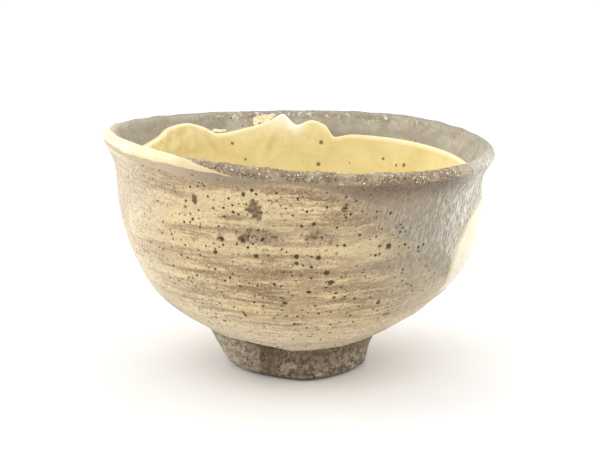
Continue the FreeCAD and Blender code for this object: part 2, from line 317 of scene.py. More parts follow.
def add_object(name, places, faces, attributes=None):
    """A smooth-shaded mesh object from places in millimetres, with float attributes on its points."""
    mesh = bpy.data.meshes.new(name)
    mesh.from_pydata((np.asarray(places) * MM).tolist(), [], faces)
    mesh.polygons.foreach_set("use_smooth", [True] * len(mesh.polygons))
    for key, values in (attributes or {}).items():
        layer = mesh.attributes.new(key, "FLOAT", "POINT")
        layer.data.foreach_set("value", np.asarray(values, np.float32).ravel())
    mesh.update()
    piece = bpy.data.objects.new(name, mesh)
    bpy.context.collection.objects.link(piece)
    return piece


def grid_faces(rows, columns, wrap_rows, wrap_columns, first=0, flip=False):
    """Quads of a grid of points that is stored row by row."""
    row = np.arange(rows if wrap_rows else rows - 1)[:, None]
    column = np.arange(columns if wrap_columns else columns - 1)[None, :]
    row_next = (row + 1) % rows
    column_next = (column + 1) % columns
    corners = [row * columns + column, row * columns + column_next,
               row_next * columns + column_next, row_next * columns + column]
    if flip:
        corners = corners[::-1]
    return (np.stack([c + 0 * row + 0 * column for c in corners], -1).reshape(-1, 4) + first).tolist()


def ring_piece(name, grid, attributes, capped):
    """A piece that goes right round. Its rows close on themselves, or end in two small caps."""
    rows, columns = grid.shape[:2]
    faces = grid_faces(rows, columns, not capped, True)
    places = grid.reshape(-1, 3)
    values = {key: np.broadcast_to(value, grid.shape[:2]).reshape(-1) for key, value in attributes.items()}
    if capped:
        ends = [grid[0].mean(0), grid[-1].mean(0)]
        places = np.concatenate([places, ends])
        values = {key: np.append(value, [value[0], value[-1]]) for key, value in values.items()}
        count = rows * columns
        for i in range(columns):
            j = (i + 1) % columns
            faces.append([count, j, i])
            faces.append([count + 1, count - columns + i, count - columns + j])
    return add_object(name, places, faces, values)


def patch_piece(name, face, root, attributes):
    """A piece that covers part of the wall: its face, its root in the clay, and the strip between."""
    rows, columns = face.shape[:2]
    count = rows * columns
    faces = grid_faces(rows, columns, False, False)
    faces += grid_faces(rows, columns, False, False, first=count, flip=True)
    index = np.arange(count).reshape(rows, columns)
    rim = np.concatenate([index[0], index[1:, -1], index[-1, -2::-1], index[-2:0:-1, 0]]).tolist()
    for i, j in zip(rim, rim[1:] + rim[:1]):
        faces.append([j, i, i + count, j + count])
    places = np.concatenate([face.reshape(-1, 3), root.reshape(-1, 3)])
    values = {}
    for key, value in attributes.items():
        value = np.broadcast_to(value, (rows, columns)).reshape(-1)
        values[key] = np.concatenate([value, value])
    return add_object(name, places, faces, values)


# ---------------------------------------------------------------- where things are on the bowl

# The radii at which degrees become millimetres along the wall.
OUTSIDE_RADIUS = 60.0
INSIDE_RADIUS = 55.0
INSIDE_EDGE_RADIUS = 59.0

# Stretches round the bowl: start angle, end angle, and how softly each ends.
BURNT_LIP = (239, 324, 10)
# Painted shade: where the clay under the lip is darkened, at the front right.
SHADE_UNDER_LIP = (282, 326, 12)
HAZE_INSIDE = (45, 125, 15)
SHADE_INSIDE = (122, 180, 12)
WARM_CLAY = (170, 305, 18)
# Paler clay at the far left, partly painted light on the bright left side.
PALE_AND_LIT_CLAY_LEFT = (165, 238, 14)
PALE_CLAY_RIGHT = (322, 352, 12)
CLEAN_CLAY = (296, 345, 12)
THICK_SLIP_INSIDE = (78, 168, 6)
SHADED_SLIP_INSIDE = (128, 172, 18)
WHITE_PEAK = (90, 99, 5)
BRUSHED_FRONT = (222, 308, 20)
GREY_RIGHT = (294, 340, 16)
BLENDED_EDGE = (291, 338, 12)
# The brushed slip's far left is paler, partly as painted light on the bright left side.
PALE_AND_LIT_SLIP_LEFT = (160, 214, 16)
PALE_SLIP_LOW_LEFT = (180, 236, 16)
PALE_SLIP_RIGHT = (308, 350, 14)
FOOT_FRONT = (265, 325, 35)
FOOT_LOBE = (264, 284, 26)

# The inside slip's edge: (angle, depth inside). It climbs in three waves at the back left.
INSIDE_EDGE = curve_through([
    (0, 9.9), (40, 9.7), (70, 9.6), (77, 10.8), (81, 6.4), (86, 4.7), (91, 6.6), (96, 2.4), (101, 4.9),
    (108, 7.1), (121, 9.2), (127, 6.2), (133, 4.4), (141, 5.3), (150, 8.6), (162, 10.4), (205, 7.8),
    (235, 10.6), (265, 8.8), (300, 10.9), (335, 8.9)], period=360)

# The brushed slip's edge: (angle, depth outside). It drops away at the right front.
OUTSIDE_EDGE = curve_through([
    (20, 24), (55, 11), (100, 7.5), (150, 8.5), (200, 5.6), (228, 7.5), (243, 9.0), (255, 8.0), (265, 5.6),
    (274, 6.4), (284, 9.4), (291, 11.8), (300, 14.8), (307, 19.5), (314, 25.5), (322, 31), (331, 36),
    (350, 34)], period=360)

# The lip roll runs from the far left to the front.
ROLL_START = 168
ROLL_END = 253
ROLL_COLUMNS = 230
ROLL_ROWS = 30

# Its lower and upper edge: (angle, depth), negative outside and positive inside. Then its thickness.
ROLL_LOWER = curve_through([
    (ROLL_START, -1.6), (178, -3.0), (192, -3.6), (206, -4.3), (215, -4.8), (238, -5.0), (ROLL_END, -5.0)])
ROLL_UPPER = curve_through([
    (ROLL_START, -0.6), (180, 0.2), (205, 0.8), (226, 0.4), (236, -0.8), (242, -2.4), (ROLL_END, -4.9)])
ROLL_THICKNESS = curve_through([
    (ROLL_START, 0.05), (178, 0.5), (190, 0.85), (215, 0.95), (236, 0.7), (246, 0.4), (ROLL_END, 0.05)])

# The pour's rows run from its top to its foot, and its columns crowd together near its two edges.
POUR_TOP = 7.0
POUR_FOOT = 55.0
POUR_COLUMNS = 58
POUR_EDGE_COLUMNS = [0.0, 0.1, 0.3, 0.7, 1.3, 2.2, 3.4]

# The pour's left and right edge: (depth outside, angle).
POUR_LEFT = curve_through([
    (POUR_TOP, 364), (12, 362), (16, 356), (18, 351), (20.5, 339.5), (23, 334.5), (28, 330), (31, 327),
    (36, 327), (48, 329), (POUR_FOOT, 336)])
POUR_RIGHT = curve_through([(POUR_TOP, 374), (14, 392), (24, 407), (36, 412), (46, 404), (POUR_FOOT, 384)])

# Places where the slip came away from the clay: angle, depth outside, half width, half height, strength.
BARE_PATCHES = [
    (257, 15.8, 2.6, 3.3, 1.1), (258, 24.2, 7.5, 2.6, 0.7), (253, 26, 2, 1.5, 0.9),
    (263, 24, 2.6, 1.4, 0.6), (276, 23.2, 5.5, 2.8, 0.66), (274, 22.8, 2.6, 1.6, 0.8),
    (283, 13.2, 1.2, 1.7, 1), (286, 10.2, 1.2, 1, 0.9), (238, 15.7, 1, 1.9, 1.1), (236, 25, 6, 0.9, 0.5),
    (301, 26.6, 5, 2.2, 0.5), (305, 54.2, 2, 1, 0.9), (246, 27, 1.6, 1.2, 0.9), (60, 21, 5, 2, 0.6),
    (95, 33, 3, 2.2, 0.9), (130, 18, 4.5, 1.5, 0.6), (165, 40, 2.5, 2, 0.9)]

# The larger iron spots outside: angle, depth, radius.
IRON_SPOTS = [
    (235, 16.7, 0.5), (234.5, 18.7, 0.5), (237, 22.2, 0.6), (256.5, 9.5, 0.6), (254, 11.2, 0.7),
    (246.5, 27, 0.8), (244, 31.7, 0.8), (257, 31, 0.8), (253, 26.2, 0.8), (269, 30, 0.8), (269, 32, 0.7),
    (265, 47.2, 0.8), (262, 40.2, 0.6), (239, 61, 0.7), (268, 57.5, 0.7), (274, 19, 0.6), (283, 25.5, 0.6),
    (297, 26.2, 1.2), (275.5, 29.7, 0.8), (278, 34.7, 1), (279.5, 38.2, 1), (273, 42, 0.6),
    (297.5, 47, 0.9), (276.5, 51.5, 0.6), (273.5, 33, 0.6), (287.5, 22, 0.5), (281, 44, 0.6),
    (250, 55.2, 0.6), (20, 38, 0.8), (75, 24, 0.9), (112, 40, 0.8), (150, 30, 1), (190, 44, 0.8)]

# The dark dot on the lip roll near its far end, listed in the same way.
ROLL_SPOTS = [(181, 2.1, 0.8)]

# The pits in the slip inside: angle, depth, radius.
INSIDE_PITS = [
    (116, 13, 0.7), (82, 13, 0.8), (83, 21, 0.9), (57, 17.5, 0.7), (51, 19, 0.6), (47.5, 18.5, 0.8),
    (111, 19, 0.5), (71, 20, 0.5), (30, 34, 0.7), (160, 40, 0.8), (215, 28, 0.7), (265, 42, 0.7),
    (310, 26, 0.8)]

# Rust marks on the grey band inside the lip, listed in the same way.
RUST_SPOTS = [(23, 2.0, 1.1), (20, 2.4, 0.7)]

# Strokes where the brush ran dry and the clay tints the slip:
# angle, depth, half width, half height, strength, and how much deeper they run per degree.
DRY_STROKES = [
    (222, 28.6, 26, 1.5, 1, -0.13), (248, 25.4, 14, 1.8, 0.6, 0), (226, 12, 24, 4.5, 0.55, -0.2),
    (258, 24, 16, 3, 0.5, 0), (293, 18.5, 14, 7, 1, -0.2), (284, 22, 14, 3.5, 0.7, 0),
    (306, 33, 18, 9, 0.7, -0.3), (268, 37.5, 36, 2.4, 0.9, 0), (238, 33.2, 22, 1.6, 1, -0.03),
    (270, 37, 48, 10, 0.62, 0), (288, 31.5, 12, 2.2, 0.9, 0), (312, 48, 18, 8, 0.6, -0.3),
    (234, 47, 16, 4, 0.5, -0.1), (281, 16, 10, 2, 1, 0), (236, 26.7, 14, 1.2, 1.5, 0),
    (260, 26.6, 34, 1.1, 1.4, -0.06), (262, 44.6, 24, 1.8, 1.3, 0.04), (297.5, 23, 7, 4, 0.9, -0.2),
    (285, 35.5, 18, 3, 1.1, -0.1), (268, 8.8, 32, 2.3, 1.6, 0.04), (300, 12, 14, 4, 0.9, 0.1),
    (251, 18.6, 6, 1.8, 1, 0), (283, 20.6, 30, 1.1, 0.9, 0), (232, 14.5, 12, 2.2, 0.8, 0),
    (243, 10.6, 9, 1.6, 1, 0), (272, 50, 22, 3.4, 0.55, 0), (276, 62, 24, 4, 0.4, 0),
    (20, 45, 24, 6, 0.7, 0.1), (70, 26, 26, 4, 0.8, 0), (110, 44, 30, 5, 0.7, 0.1),
    (150, 27, 24, 3, 0.8, -0.1), (180, 52, 24, 4, 0.6, 0), (85, 60, 26, 4, 0.6, 0)]

# Strokes where the slip lies thick and pale, listed in the same way.
THICK_STROKES = [
    (223, 24.2, 22, 1.9, 1.4, -0.13), (250, 14, 12, 4.5, 0.8, 0), (272, 14, 14, 3, 0.25, 0),
    (283, 27.5, 14, 1.4, 1, 0), (242, 30.6, 16, 1.5, 0.8, 0), (222, 42, 16, 1.8, 0.7, 0),
    (236, 37.6, 14, 1.8, 0.9, 0), (250, 52.4, 14, 1.5, 0.8, 0), (205, 27, 12, 2, 0.8, -0.1),
    (35, 30, 20, 3, 0.7, 0.1), (265.5, 5.8, 6, 1, 1, 0), (312, 37.6, 14, 0.7, 1.3, -0.04),
    (319, 28.4, 9, 0.7, 1.3, 0.3), (125, 34, 24, 2.6, 0.8, 0), (165, 18, 22, 3, 0.7, 0)]

# Creases in the slip inside: (angle, depth) at each end, and half width.
CREASES = [
    (150, 14, 139, 8.5, 0.7), (146, 13.5, 135, 7.2, 0.6), (141, 15, 130, 9, 0.9), (122, 16, 128, 9.5, 0.7),
    (104, 20, 98, 8, 0.9), (170, 22, 158, 13, 0.9), (216, 24, 204, 12, 0.9), (290, 25, 280, 13, 0.9),
    (340, 24, 330, 12, 0.8)]

SMEAR_COLUMNS = 60
SMEAR_ROWS = 16

# Smears above the inside slip's edge: angle, depth, half width in degrees, half height, slant.
SMEARS = [(120.5, 8.2, 4.0, 0.8, 0.0), (103.4, 4.1, 5.6, 2.0, 0.26)]


def oval_reach(angle, depth, middle, down, half_width, half_height, slant=0.0):
    """How far a place outside is from an oval's middle: 1 on the oval's outline."""
    turn = around(angle, middle)
    across = np.radians(turn) * OUTSIDE_RADIUS / half_width
    up = (depth - down - slant * turn) / half_height
    return np.sqrt(across ** 2 + up ** 2)


def bare_patch_mask(angle, depth, places):
    """How bare the clay is: ragged ovals round each place where the slip came away."""
    ragged = 0.50 * noise(places, 2.4, 31) + 0.35 * noise(places, 1.2, 32)
    bare = np.zeros(np.shape(angle))
    for middle, down, half_width, half_height, strength in BARE_PATCHES:
        reach = oval_reach(angle, depth, middle, down, half_width, half_height) + ragged
        bare = np.maximum(bare, strength * (1.0 - smooth(reach, 0.6, 1.25)))
    return bare


def stroke_mask(strokes, angle, depth, places):
    """Long ragged ovals, one for each brush stroke, with ends that trail off."""
    ragged = 0.45 * noise(places, (14, 14, 2.2), 33) + 0.20 * noise(places, (5, 5, 1.2), 34)
    total = np.zeros(np.shape(angle))
    for middle, down, half_width, half_height, strength, slant in strokes:
        reach = oval_reach(angle, depth, middle, down, half_width, half_height, slant) + ragged
        total = np.maximum(total, strength * (1.0 - smooth(reach, 0.35, 1.35)))
    return total


def lip_crust(angle, depth):
    """Where the lip is rough and burnt: most along the front, a little everywhere."""
    return (0.10 + 0.90 * arc_mask(angle, *BURNT_LIP)) * band(depth, -6.5, -3.0, 0.8, 3.2)


def wall_relief(places, depth):
    """The thrown wall's unevenness: soft lumps, and the rings that the fingers left."""
    lumps = 0.30 * noise(places, 24, 1) + 0.12 * noise(places, (10, 10, 7), 2)
    rings = 0.16 * noise(places * (0.12, 0.12, 1.0), 4.2, 3)
    calm = smooth(np.abs(depth), 1.0, 8.0)
    return lumps * (0.5 + 0.5 * calm) + rings * calm


def lifted(places, normals, height):
    """Places moved by a height along their normals."""
    return places + normals * np.asarray(height)[..., None]


def on_wall(angle, depth, proud=0.0):
    """Places on the uneven wall, moved outwards by proud, and the normals there."""
    places, normals = wall.at(angle, depth)
    return lifted(places, normals, wall_relief(places, depth) + proud), normals


# ---------------------------------------------------------------- the clay body and the foot

COLUMNS = 900
COLUMN_ANGLES = even_angles(COLUMNS)
FINE_ROWS_OUTSIDE = np.concatenate([np.arange(0.0, 9.0, 0.35), np.arange(9.0, 40.0, 0.7)])
FINE_ROWS_INSIDE = np.arange(0.35, 13.0, 0.4)
DEEP_START_OUTSIDE = 40.7
DEEP_START_INSIDE = 14.0
DEEP_ROWS = 26
MIDDLE_HOLE = 0.8


def depth_rows(fine, deep_start, side):
    """Depths row by row: fixed near the lip, then shares of what is left to the middle."""
    full = wall.length(COLUMN_ANGLES, side) - MIDDLE_HOLE
    return np.array([np.full(COLUMNS, depth) for depth in fine] + between(deep_start, full, DEEP_ROWS))


def make_clay():
    """The clay body: one skin from the middle underneath, up over the lip, to the middle inside."""
    outside = -depth_rows(FINE_ROWS_OUTSIDE, DEEP_START_OUTSIDE, 0)
    inside = depth_rows(FINE_ROWS_INSIDE, DEEP_START_INSIDE, 1)
    depth = np.concatenate([outside[::-1], inside])
    down = -depth
    angle = np.broadcast_to(COLUMN_ANGLES, depth.shape)
    places, normals = on_wall(angle, depth)
    crust = lip_crust(angle, depth)
    grain = 0.06 * noise(places, 1.7, 11) + 0.04 * noise(places, 0.9, 12)
    rough = crust * (0.26 * noise(places, 2.4, 13) + 0.20 * noise(places, 1.0, 14))
    worn = 0.35 * noise(places, 7.0, 15) * (1.0 - smooth(np.abs(depth), 0.0, 5.0))
    under_outside = smooth(down - OUTSIDE_EDGE(angle), 1.5, 5.0) * (depth < 0)
    under_inside = smooth(depth - INSIDE_EDGE(angle), 0.6, 2.0) * (depth > 0)
    sunk = -0.35 * np.maximum(under_outside, under_inside)
    places = lifted(places, normals, grain + rough + worn + sunk)
    ragged = 1.2 * noise(places, (6, 6, 1.6), 16)
    slip = 0.75 * (1.0 - arc_mask(angle, *CLEAN_CLAY))
    attributes = {
        "crust": crust,
        "inner": smooth(depth, 0.5, 2.5),
        "slip": slip * smooth(down - OUTSIDE_EDGE(angle) + ragged, -1.6, 1.8),
        "front": arc_mask(angle, *WARM_CLAY),
        "pale": arc_mask(angle, *PALE_CLAY_RIGHT) * smooth(down, -2.0, 1.0),
        # Paler clay at the far left, partly painted light on the bright left side.
        "left": 0.7 * arc_mask(angle, *PALE_AND_LIT_CLAY_LEFT),
        "haze": arc_mask(angle, *HAZE_INSIDE) * band(depth, 0.3, 1.2, 2.5, 6.0),
        # Painted shade under the lip, at the front right.
        "under_lip_shade": arc_mask(angle, *SHADE_UNDER_LIP) * band(down, 2.0, 4.0, 6.5, 14.0),
        "shade": arc_mask(angle, *SHADE_INSIDE) * smooth(depth, 1.5, 5.0),
    }
    piece = ring_piece("clay_body", places, attributes, capped=True)
    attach(piece, "root")
    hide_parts("clay_bowl")
    return piece


# The foot's heights, the rounding of its resting edge, how far it flares out, and its rows.
FOOT_TOP_INNER = 11.5
FOOT_TOP_OUTER = 12.5
FOOT_EDGE_INNER = 1.1
FOOT_EDGE_OUTER = 1.5
FOOT_FLARE_TOP = 8.0
FOOT_FLARE = 0.9
FOOT_FRONT_FLARE = 1.1
FOOT_LOBE_FLARE = 3.0
FOOT_INNER_ROWS = 15
FOOT_ROUND_ROWS = 9
FOOT_FLAT_ROWS = 8
FOOT_OUTER_ROWS = 29


def foot_radius(walls, height):
    """The radius of one of the foot's faces at a height, for every column."""
    return np.array([np.interp(height, FOOT_LEVELS, column) for column in walls])


def foot_grid():
    """The foot's radius and height, row by row, from inside the well to under the bowl."""
    columns = even_angles(FOOT_COLUMNS)
    flare = FOOT_FLARE + FOOT_FRONT_FLARE * arc_mask(columns, *FOOT_FRONT)
    flare = flare + FOOT_LOBE_FLARE * arc_mask(columns, *FOOT_LOBE)
    rounding = np.radians(np.linspace(0, 90, FOOT_ROUND_ROWS))
    rows = []
    for height in np.linspace(FOOT_TOP_INNER, FOOT_EDGE_INNER, FOOT_INNER_ROWS + 1)[:-1]:
        rows.append((foot_radius(foot_inner, height), height))
    for turn in rounding:
        height = FOOT_EDGE_INNER * (1 - math.sin(turn))
        rows.append((foot_radius(foot_inner, height) + FOOT_EDGE_INNER * (1 - math.cos(turn)), height))
    flat_end = foot_radius(foot_outer, 0.0) - FOOT_EDGE_OUTER + flare
    rows += [(radius, 0.0) for radius in between(rows[-1][0], flat_end, FOOT_FLAT_ROWS + 2)[1:-1]]
    outer = [(FOOT_EDGE_OUTER * (1 - math.cos(t)), FOOT_EDGE_OUTER * (1 - math.sin(t))) for t in rounding]
    straight = np.linspace(FOOT_EDGE_OUTER, FOOT_TOP_OUTER, FOOT_OUTER_ROWS + 1)[1:]
    outer += [(height, 0.0) for height in straight]
    slope = (foot_outer[:, -1] - foot_outer[:, -3]) / (FOOT_LEVELS[-1] - FOOT_LEVELS[-3])
    for height, inset in outer:
        beyond = slope * max(0.0, height - FOOT_LEVELS[-1])
        spread = flare * (1.0 - smooth(height, 0.0, FOOT_FLARE_TOP))
        rows.append((foot_radius(foot_outer, height) - inset + beyond + spread, height))
    radius = np.array([row[0] for row in rows])
    height = np.array([row[1] for row in rows])[:, None]
    return radius, np.broadcast_to(height, radius.shape)


def make_foot():
    """The foot: down its inner face, round its resting edge and up its outer face, lumpy and pitted."""
    radius, height = foot_grid()
    turn = np.radians(even_angles(FOOT_COLUMNS))
    places = np.stack([radius * np.cos(turn), radius * np.sin(turn), height], -1)
    lumps = 0.40 * noise(places, 11, 21) + 0.22 * noise(places, 4.5, 22)
    cuts = 0.30 * np.abs(noise(places * (1, 1, 0.35), 6.0, 23))
    pits = 0.16 * noise(places, 1.5, 24) + 0.09 * noise(places, 0.8, 25)
    uneven = (lumps - cuts + pits) * smooth(height, 0.0, 1.2)
    places[..., :2] *= (1.0 + uneven / radius)[..., None]
    piece = ring_piece("foot", places, {}, capped=False)
    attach(piece, "root")
    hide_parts("foot_ring")
    return piece


# ---------------------------------------------------------------- the coats of slip

# How far a coat's root lies in the clay.
ROOT = -0.6

# The slip inside, from its edge to the middle. An edge's shape is (distance down from it, proud).
INSIDE_ROOT_ROWS = 12
INSIDE_FACE_ROWS = 95
INSIDE_FACE_PROUD = 0.56
INSIDE_EDGE_SHAPE = [
    (-0.05, -0.45), (0.0, 0.0), (0.08, 0.45), (0.28, 0.85), (0.6, 1.05), (1.0, 1.12), (1.5, 1.08),
    (2.1, 0.96), (2.8, 0.82), (3.6, 0.70), (4.6, 0.62), (5.8, 0.58)]

# The brushed slip, from its edge to its ledge over the foot. A ledge's shape is (distance up from it,
# proud), and it lies a little above the place where the foot meets the wall.
BRUSHED_ROOT_ROWS = 10
BRUSHED_FACE_ROWS = 116
LEDGE_ABOVE_JOINT = 1.0
BRUSHED_EDGE_SHAPE = [(-0.8, -0.35), (0.0, -0.06), (0.9, 0.10), (2.0, 0.20), (3.2, 0.26)]
BRUSHED_LEDGE_SHAPE = [
    (1.6, 0.42), (0.9, 0.50), (0.45, 0.54), (0.18, 0.48), (0.04, 0.30), (-0.02, 0.05), (-0.02, -0.4)]


def inside_creases(angle, depth):
    """How deep in a crease of the slip a place is."""
    total = np.zeros(np.shape(depth))
    for angle_a, depth_a, angle_b, depth_b, half_width in CREASES:
        across = np.radians(around(angle, angle_a)) * INSIDE_RADIUS
        run = np.array([math.radians(angle_b - angle_a) * INSIDE_RADIUS, depth_b - depth_a])
        share = np.clip((across * run[0] + (depth - depth_a) * run[1]) / (run ** 2).sum(), 0.0, 1.0)
        away = np.hypot(across - share * run[0], depth - depth_a - share * run[1])
        taper = 1.0 - np.abs(2.0 * share - 1.0) ** 2
        total = np.maximum(total, taper * (1.0 - smooth(away, 0.0, 2.4 * half_width)))
    return total


def make_inside_coat():
    """The poured slip inside: a thick rolled edge, a softly wiped face, and its root in the clay."""
    edge = INSIDE_EDGE(COLUMN_ANGLES)
    step = 2 * math.pi * INSIDE_EDGE_RADIUS / COLUMNS
    slope = np.gradient(np.concatenate([edge[-1:], edge, edge[:1]]))[1:-1] / step
    stretch = np.sqrt(1.0 + slope ** 2)
    full = wall.length(COLUMN_ANGLES, 1) - MIDDLE_HOLE
    depths = between(full, edge, INSIDE_ROOT_ROWS)
    depths += [edge + down * stretch for down, _ in INSIDE_EDGE_SHAPE]
    depths += between(depths[-1], full, INSIDE_FACE_ROWS + 1)[1:]
    prouds = [ROOT] * INSIDE_ROOT_ROWS + [proud for _, proud in INSIDE_EDGE_SHAPE]
    prouds += [INSIDE_FACE_PROUD] * INSIDE_FACE_ROWS
    depth = np.array(depths)
    angle = np.broadcast_to(COLUMN_ANGLES, depth.shape)
    thick_side = 0.62 + 0.38 * arc_mask(angle, *THICK_SLIP_INSIDE)
    proud = np.array(prouds)[:, None]
    proud = np.where(proud > 0.0, proud * thick_side, proud)
    places, normals = on_wall(angle, depth, proud)
    shown = (np.arange(len(depth)) >= INSIDE_ROOT_ROWS)[:, None]
    swirl = places.copy()
    swirl[..., 2] += 0.35 * places[..., 0]
    broad = 0.22 * noise(swirl * (0.5, 0.5, 1.0), 9.0, 41)
    narrow = 0.10 * noise(swirl * (0.3, 0.3, 1.0), 3.4, 42)
    creases = inside_creases(angle, depth)
    fade = 0.25 + 0.75 * smooth(depth - edge, 0.3, 4.0)
    places = lifted(places, normals, (broad + narrow - 0.40 * creases) * shown * fade)
    below = depth - edge
    attributes = {
        # A painted highlight runs along the slip's thick edge.
        "edge": 1.0 - smooth(below, 0.8, 2.6),
        # Painted shade in the creases of the slip.
        "crease": creases,
        "shade": arc_mask(angle, *SHADED_SLIP_INSIDE) * (1.0 - smooth(below, 8.0, 30.0)),
        "peak": arc_mask(angle, *WHITE_PEAK) * (1.0 - smooth(below + noise(places, 3.0, 43), 1.5, 6.0)),
    }
    piece = ring_piece("inside_coat", places, attributes, capped=True)
    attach(piece, "root")
    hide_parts("inside_slip")
    return piece


def pale_and_lit_slip(angle, depth):
    """Where the brushed slip is paler: at the far left, partly as painted light on the bright left side; low
    at the right; and towards the foot, partly as painted light on the shaded band above the ledge.
    """
    left = 0.9 * arc_mask(angle, *PALE_AND_LIT_SLIP_LEFT) * (1.0 - 0.3 * band(depth, 21, 31, 39, 49))
    right = 0.8 * arc_mask(angle, *PALE_SLIP_RIGHT) * smooth(depth, 30, 46)
    # Towards the foot: partly the slip's own paler tone, partly painted light just above the ledge.
    low = 0.5 * smooth(depth, 50, 66) + 0.3 * smooth(depth, 66, 72)
    low = low + 0.35 * arc_mask(angle, *PALE_SLIP_LOW_LEFT) * smooth(depth, 38, 46)
    return np.maximum(np.maximum(left, right), low)


def brush_height(places, angle):
    """A height that follows the brush strokes: level on the left, sweeping up to the right."""
    sweep = 7.0 * smooth(around(angle, 270), 18, 75) + 2.0 * smooth(-around(angle, 270), 40, 90)
    return places[..., 2] - sweep * smooth(places[..., 2], 10, 45) + 0.8 * noise(places, 26, 51)


def make_brushed_coat():
    """The brushed slip outside: thin at its upper edge, with a crisp ledge over the foot."""
    edge = OUTSIDE_EDGE(COLUMN_ANGLES)
    joint = round_fit(COLUMN_ANGLES, foot_joint_depth(COLUMN_ANGLES), COLUMNS) - LEDGE_ABOVE_JOINT
    top = [(edge + down, proud) for down, proud in BRUSHED_EDGE_SHAPE]
    ledge = [(joint - up, proud) for up, proud in BRUSHED_LEDGE_SHAPE]
    face = [between(start, end, BRUSHED_FACE_ROWS + 2)[1:-1] for start, end in zip(top[-1], ledge[0])]
    root = [(depth, ROOT) for depth in between(joint, top[0][0], BRUSHED_ROOT_ROWS)]
    rows = top + list(zip(*face)) + ledge + root
    depth = np.array([row[0] for row in rows])
    proud = np.array([row[1] for row in rows])[:, None]
    angle = np.broadcast_to(COLUMN_ANGLES, depth.shape)
    places, normals = on_wall(angle, -depth, proud)
    shown = (np.arange(len(rows)) < len(rows) - len(root) - 2)[:, None]
    inland = smooth(depth - edge, 0.0, 4.0) * smooth(joint - depth, 0.2, 2.0)
    stroke = brush_height(places, angle)
    brushed = np.stack([places[..., 0] * 0.05, places[..., 1] * 0.05, stroke], -1)
    grooves = 0.09 * noise(brushed, 2.3, 52) + 0.06 * noise(brushed, 1.3, 53)
    lumps = 0.10 * noise(places, 5.0, 54) + 0.04 * noise(places, 1.6, 55)
    bare = bare_patch_mask(angle, depth, places)
    torn = -0.26 * bare + 0.10 * bare * noise(places, 1.2, 56)
    places = lifted(places, normals, (grooves + lumps + torn) * inland * shown)
    blend = 1.0 + 3.0 * arc_mask(angle, *BLENDED_EDGE)
    from_edge = (depth - edge + 1.8 * noise(places, (5, 5, 1.2), 57)) / blend
    attributes = {
        "stroke": stroke,
        "bare": bare,
        "dry": stroke_mask(DRY_STROKES, angle, depth, places),
        "thick": stroke_mask(THICK_STROKES, angle, depth, places),
        "thin": 1.0 - smooth(from_edge, 0.1, 4.2),
        "grey": arc_mask(angle, *GREY_RIGHT) * (1.0 - smooth(depth, 30, 62)),
        "front": arc_mask(angle, *BRUSHED_FRONT),
        # Paler slip, partly painted light at the far left and above the ledge.
        "pale": pale_and_lit_slip(angle, depth),
        "mottle": 0.35 + 0.65 * smooth(noise(places, 18.0, 58), -0.3, 0.4),
    }
    attributes = {name: values[::-1] for name, values in attributes.items()}
    piece = ring_piece("brushed_coat", places[::-1], attributes, capped=False)
    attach(piece, "root")
    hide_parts("outside_slip")
    return piece


def make_lip_roll():
    """The thick roll of glaze along the left lip, from its lower edge outside to its upper edge."""
    angle = np.linspace(ROLL_START, ROLL_END, ROLL_COLUMNS)[None, :]
    share = (1.0 - np.cos(np.linspace(0.0, math.pi, ROLL_ROWS)))[:, None] / 2.0
    line, _ = wall.at(angle, 0.0)
    ends = band(angle, ROLL_START, 178, 244, ROLL_END)
    lower = ROLL_LOWER(angle) - ends * (0.5 * noise(line, 5.0, 63) + 0.3 * noise(line, 2.4, 64))
    upper = ROLL_UPPER(angle) + 0.4 * ends * noise(line, 6.0, 65)
    depth = lower + (upper - lower) * share
    bulge = 1.0 - np.abs(2.0 * share - 1.0) ** 2.6
    proud = -0.30 + (ROLL_THICKNESS(angle) + 0.30) * bulge
    tail = 0.6 * smooth(angle, 226, 246)
    angle = np.broadcast_to(angle, depth.shape)
    face, normals = on_wall(angle, depth, proud)
    soft = 0.10 * noise(face, 6.0, 61) + 0.04 * noise(face, 2.2, 62)
    face = lifted(face, normals, soft * bulge)
    root, _ = on_wall(angle, depth, ROOT - 0.2)
    piece = patch_piece("lip_roll", face, root, {"edge": 1.0 - bulge, "tail": tail})
    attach(piece, "root")
    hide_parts("lip_slip")
    return piece


def make_side_pour():
    """The pour down the right side, with a rounded edge that thins towards its foot."""
    from_edge = np.degrees(np.array(POUR_EDGE_COLUMNS) / OUTSIDE_RADIUS)
    depth = np.arange(POUR_TOP, POUR_FOOT + 0.01, 0.5)[:, None]
    left = POUR_LEFT(depth)
    right = left + np.maximum(POUR_RIGHT(depth) - left, 6.0)
    start = left + from_edge[-1]
    end = right - from_edge[-1]
    middle = start + (end - start) * np.linspace(0.0, 1.0, POUR_COLUMNS + 2)[1:-1]
    angle = np.concatenate([left + from_edge, middle, right - from_edge[::-1]], axis=1)
    inwards = np.radians(np.minimum(angle - left, right - angle)) * OUTSIDE_RADIUS
    rise = smooth(inwards, -0.3, 1.2)
    thick = (0.3 + 0.7 * band(depth, 6.8, 9.0, 40.0, 55.0)) * band(depth, 6.6, 8.0, 53.5, 55.3)
    proud = -0.25 + rise * thick
    depth = np.broadcast_to(depth, angle.shape)
    face, normals = on_wall(angle, -depth, proud)
    soft = 0.12 * noise(face, 8.0, 71) + 0.05 * noise(face, 3.0, 72)
    face = lifted(face, normals, soft * rise)
    root, _ = on_wall(angle, -depth, ROOT - 0.1)
    fade = smooth(depth + 9.0 * noise(face, 18.0, 74) + 3.0 * noise(face, 5.0, 75), 20.0, 48.0)
    piece = patch_piece("side_pour", face[::-1], root[::-1], {"edge": (1.0 - rise)[::-1], "fade": fade[::-1]})
    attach(piece, "root")
    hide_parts("side_slip")
    return piece


